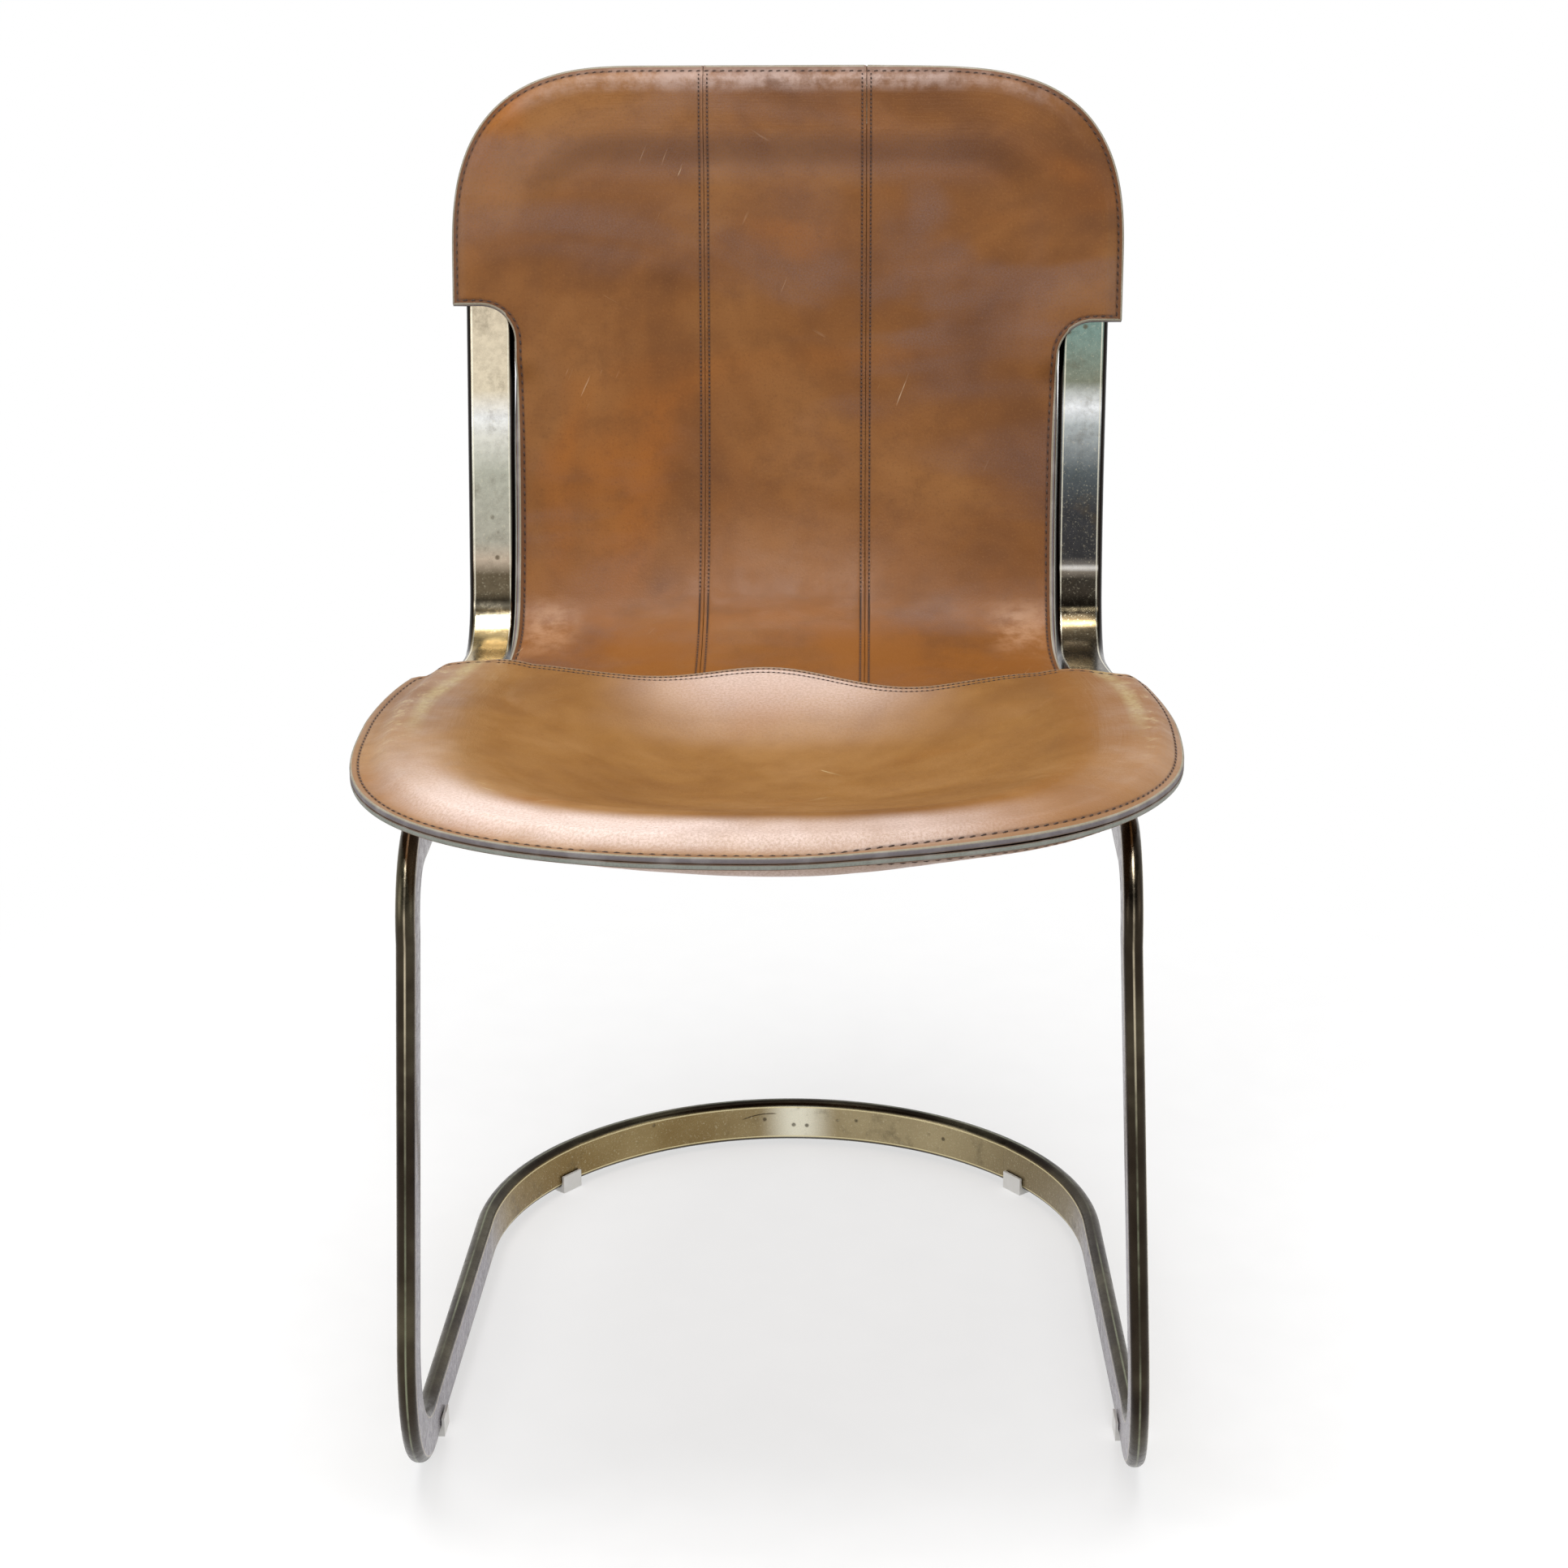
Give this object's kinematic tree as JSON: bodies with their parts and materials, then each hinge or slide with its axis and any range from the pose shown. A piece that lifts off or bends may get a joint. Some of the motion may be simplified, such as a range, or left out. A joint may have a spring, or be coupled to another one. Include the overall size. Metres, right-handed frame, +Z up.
{
  "type": "cantilever dining chair",
  "caption": "Cantilever dining chair: a bent flat-oval metal bar base carries a closed bar loop, and a stitched leather sling on the loop makes the seat and the back.",
  "frame": {"origin": "on the floor, under the middle of the chair's width and depth", "axes": "+Z up; the sitter faces -Y; +X is on the right of someone who looks at the chair's front along +Y"},
  "size_m": [0.504, 0.6314, 0.8171],
  "materials": {
    "bar_metal": "polished plating with dark patina",
    "back_leather": "waxed saddle leather, worn",
    "seat_leather": "waxed saddle leather, lighter and worn",
    "glide_plastic": "pale moulded nylon",
    "bolt_steel": "dull plated steel"
  },
  "bodies": {
    "root": {"base_frame": "bar_metal", "seat_back_loop": "bar_metal", "back_panel_left": "back_leather", "back_panel_centre": "back_leather", "back_panel_right": "back_leather", "back_lining": "back_leather", "seat_top_leather": "seat_leather", "seat_under_leather": "seat_leather", "glide_front_left": "glide_plastic", "glide_front_right": "glide_plastic", "glide_rear_left": "glide_plastic", "glide_rear_right": "glide_plastic", "seat_bolt_front_left": "bolt_steel", "seat_bolt_front_right": "bolt_steel", "seat_bolt_rear_left": "bolt_steel", "seat_bolt_rear_right": "bolt_steel"}
  },
  "joints": []
}
